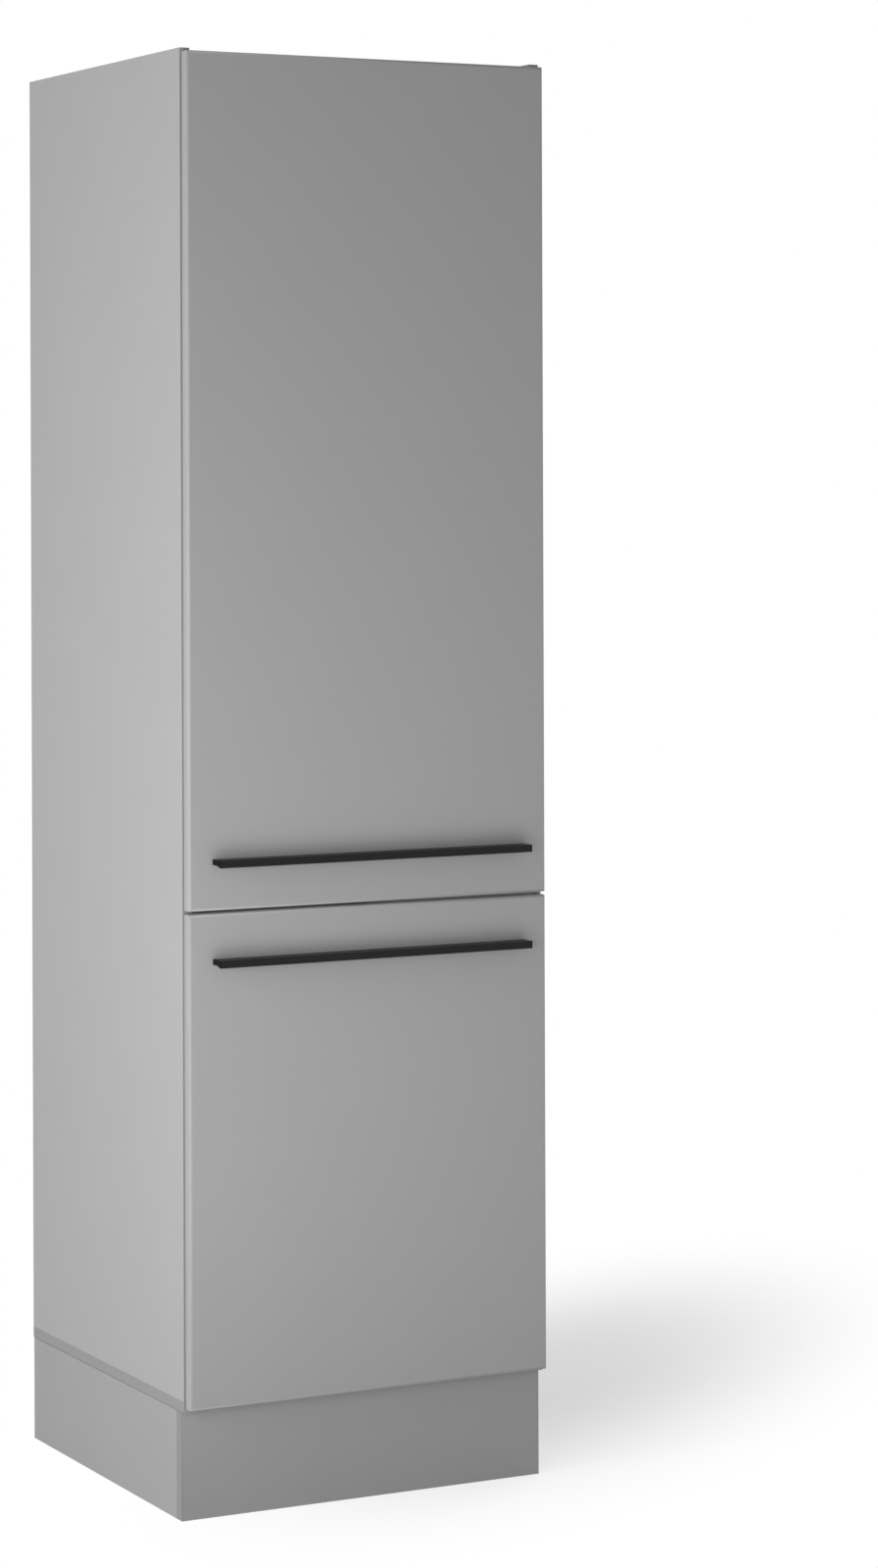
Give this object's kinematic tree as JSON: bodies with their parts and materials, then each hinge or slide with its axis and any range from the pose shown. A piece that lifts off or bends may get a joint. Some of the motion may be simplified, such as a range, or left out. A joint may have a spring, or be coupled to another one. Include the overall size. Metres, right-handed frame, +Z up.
{
  "type": "tall fridge housing unit",
  "caption": "Tall grey kitchen housing for a built-in fridge, on a plinth, with hinged doors and black bar handles.",
  "frame": {"origin": "on the floor, under the middle of the whole unit, handles included", "axes": "+X to the right and -Y to the front as one faces the doors, +Z up"},
  "size_m": [0.6, 0.6104, 2.144],
  "materials": {
    "board": "grey melamine-faced chipboard, fine matt texture",
    "back_board": "grey painted hardboard, smooth",
    "door_foil": "grey foil-wrapped MDF, smooth matt",
    "plinth_board": "grey melamine-faced chipboard, fine matt texture",
    "grey_band": "grey ABS edge band, satin",
    "front_band": "grey ABS edge band, satin",
    "handle_bar": "black anodised extruded aluminium, fine satin",
    "handle_cap": "black moulded plastic, matt",
    "hinge_steel": "nickel-plated pressed steel",
    "screw_steel": "zinc-plated steel",
    "cam_zinc": "cast zinc, dull",
    "dowel_wood": "fluted beech, raw",
    "leg_plastic": "black moulded plastic, fine matt",
    "bumper": "clear soft elastomer"
  },
  "bodies": {
    "carcase": {"side_panel_left": "board", "side_panel_right": "board", "bottom_panel": "board", "top_panel": "board", "niche_shelf": "board", "back_panel": "back_board", "rear_rail_bottom": "board", "rear_rail_middle": "board", "rear_rail_top": "board", "side_band_left": "front_band", "side_band_right": "front_band", "bottom_band_front": "front_band", "bottom_band_left": "grey_band", "bottom_band_right": "grey_band", "shelf_band": "front_band", "top_band": "front_band", "plinth_front": "plinth_board", "plinth_return_left": "plinth_board", "plinth_return_right": "plinth_board", "plinth_band_left": "grey_band", "plinth_band_right": "grey_band", "plinth_clip_left": "leg_plastic", "plinth_clip_right": "leg_plastic", "leg_front_left": "leg_plastic", "leg_front_right": "leg_plastic", "leg_back_left": "leg_plastic", "leg_back_right": "leg_plastic", "leg_screws": "screw_steel", "base_screws": "screw_steel", "cam_locks": "cam_zinc", "cam_bolts": "screw_steel", "rail_dowels": "dowel_wood", "hinge_arm_1": "hinge_steel", "hinge_arm_2": "hinge_steel", "hinge_arm_3": "hinge_steel", "hinge_arm_4": "hinge_steel", "hinge_arm_5": "hinge_steel", "hinge_plates": "hinge_steel", "plate_screws": "screw_steel", "arm_screws": "screw_steel"},
    "upper_door": {"upper_door": "door_foil", "upper_handle": "handle_bar", "upper_handle_caps": "handle_cap", "upper_handle_screws": "screw_steel", "upper_bumpers": "bumper", "upper_hinge_cups": "hinge_steel", "upper_hinge_pins": "hinge_steel", "upper_cup_screws": "screw_steel"},
    "lower_door": {"lower_door": "door_foil", "lower_handle": "handle_bar", "lower_handle_caps": "handle_cap", "lower_handle_screws": "screw_steel", "lower_bumpers": "bumper", "lower_hinge_cups": "hinge_steel", "lower_hinge_pins": "hinge_steel", "lower_cup_screws": "screw_steel"},
    "foot_front_left": {"foot_front_left": "leg_plastic"},
    "foot_front_right": {"foot_front_right": "leg_plastic"},
    "foot_back_left": {"foot_back_left": "leg_plastic"},
    "foot_back_right": {"foot_back_right": "leg_plastic"}
  },
  "joints": [
    {"name": "upper_door_hinge", "type": "hinge", "parent": "carcase", "child": "upper_door", "pos_m": [0.2915, -0.27225, 1.514], "axis": [0, 0, 1], "range_deg": [0, 95]},
    {"name": "lower_door_hinge", "type": "hinge", "parent": "carcase", "child": "lower_door", "pos_m": [0.2915, -0.27225, 0.525], "axis": [0, 0, 1], "range_deg": [0, 95]},
    {"name": "foot_front_left_thread", "type": "slide", "parent": "carcase", "child": "foot_front_left", "axis": [0, 0, 1], "range_m": [-0.02, 0.008]},
    {"name": "foot_front_right_thread", "type": "slide", "parent": "carcase", "child": "foot_front_right", "axis": [0, 0, 1], "range_m": [-0.02, 0.008]},
    {"name": "foot_back_left_thread", "type": "slide", "parent": "carcase", "child": "foot_back_left", "axis": [0, 0, 1], "range_m": [-0.02, 0.008]},
    {"name": "foot_back_right_thread", "type": "slide", "parent": "carcase", "child": "foot_back_right", "axis": [0, 0, 1], "range_m": [-0.02, 0.008]}
  ]
}
